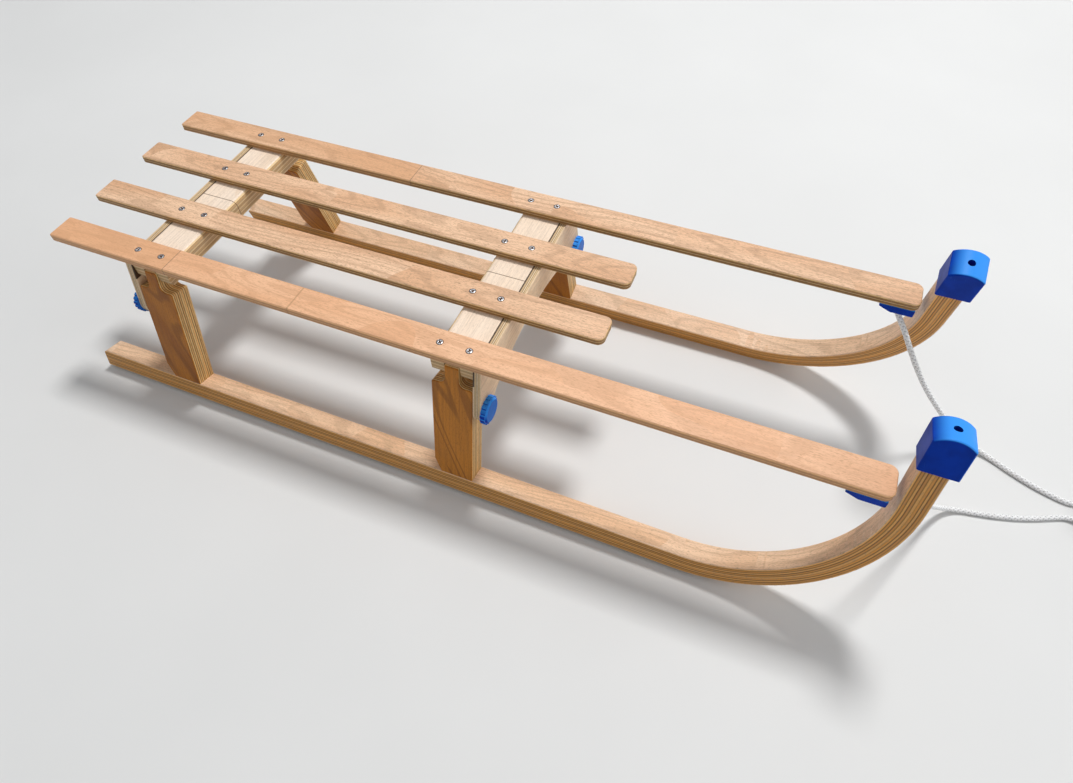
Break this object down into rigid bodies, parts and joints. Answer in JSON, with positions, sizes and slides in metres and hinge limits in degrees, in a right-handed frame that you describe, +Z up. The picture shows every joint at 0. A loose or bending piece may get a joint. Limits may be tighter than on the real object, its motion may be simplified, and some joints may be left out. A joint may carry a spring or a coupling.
{
  "type": "folding wooden sled",
  "caption": "Slatted wooden sled on bent laminated runners whose leaning legs fold flat under the seat on knob bolts, with plastic horn caps and a tow rope.",
  "frame": {"origin": "on the ground, in the middle of the sled's length and width, the loose rope not counted", "axes": "+X forward to the horns, +Y to the left, +Z up"},
  "size_m": [1.4085, 0.3886, 0.3003],
  "materials": {
    "slat_beech": "clear varnished plywood with a pinkish beech face",
    "birch_beam": "pale smooth plywood",
    "birch_plate": "pale plywood with ply edges",
    "runner_beech": "varnished laminated beech with dark glue lines",
    "leg_veneer": "varnished brown rotary veneer with striped ply edges",
    "blue_plastic": "moulded blue plastic",
    "zinc_steel": "zinc plated",
    "rope_white": "white braided rope"
  },
  "bodies": {
    "seat": {"slat_outer_left": "slat_beech", "slat_outer_right": "slat_beech", "slat_inner_left": "slat_beech", "slat_inner_right": "slat_beech", "beam_rear_left": "birch_beam", "beam_rear_right": "birch_beam", "beam_front_left": "birch_beam", "beam_front_right": "birch_beam", "knob_rear_left": "blue_plastic", "knob_rear_right": "blue_plastic", "knob_front_left": "blue_plastic", "knob_front_right": "blue_plastic", "pivot_bolt_rear_left": "zinc_steel", "pivot_bolt_rear_right": "zinc_steel", "pivot_bolt_front_left": "zinc_steel", "pivot_bolt_front_right": "zinc_steel", "rope_bracket_left": "blue_plastic", "rope_bracket_right": "blue_plastic", "arch_rear": "birch_plate", "arch_front": "birch_plate", "rope_strand_left": "rope_white", "rope_strand_right": "rope_white", "rope_coil": "rope_white"},
    "frame_left": {"runner_left": "runner_beech", "leg_rear_left": "leg_veneer", "leg_front_left": "leg_veneer", "tip_cap_left": "blue_plastic"},
    "frame_right": {"runner_right": "runner_beech", "leg_rear_right": "leg_veneer", "leg_front_right": "leg_veneer", "tip_cap_right": "blue_plastic"}
  },
  "joints": [
    {"name": "fold_left", "type": "hinge", "parent": "seat", "child": "frame_left", "pos_m": [0, 0.14749, 0.14344], "axis": [-1, 0, 0], "range_deg": [0, 103.3]},
    {"name": "fold_right", "type": "hinge", "parent": "seat", "child": "frame_right", "pos_m": [0, -0.14749, 0.14344], "axis": [1, 0, 0], "range_deg": [0, 103.3]}
  ]
}
